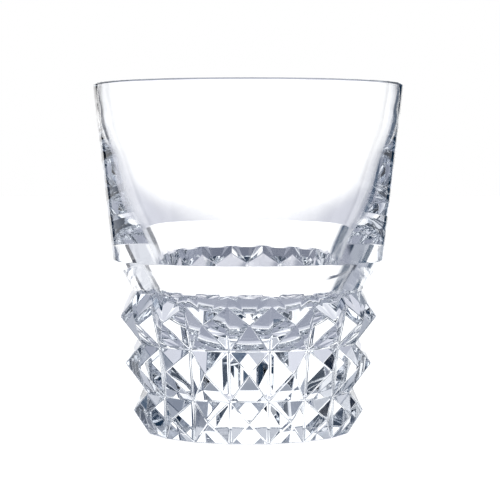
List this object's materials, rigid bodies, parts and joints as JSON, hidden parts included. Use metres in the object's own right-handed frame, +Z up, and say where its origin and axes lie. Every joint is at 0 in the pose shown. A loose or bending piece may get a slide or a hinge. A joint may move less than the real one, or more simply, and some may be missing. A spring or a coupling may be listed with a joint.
{
  "type": "whiskey tumbler",
  "caption": "Heavy crystal tumbler: a thin flared cup over a narrower solid base cut with rows of pyramid studs.",
  "frame": {"origin": "middle of the flat base, on the surface that the tumbler stands on", "axes": "+Z up along the tumbler's axis, from the base to the rim; a column of studs faces -Y"},
  "size_m": [0.086, 0.086, 0.096],
  "materials": {
    "crystal": "polished clear"
  },
  "bodies": {
    "root": {"tumbler_glass": "crystal"}
  },
  "joints": []
}
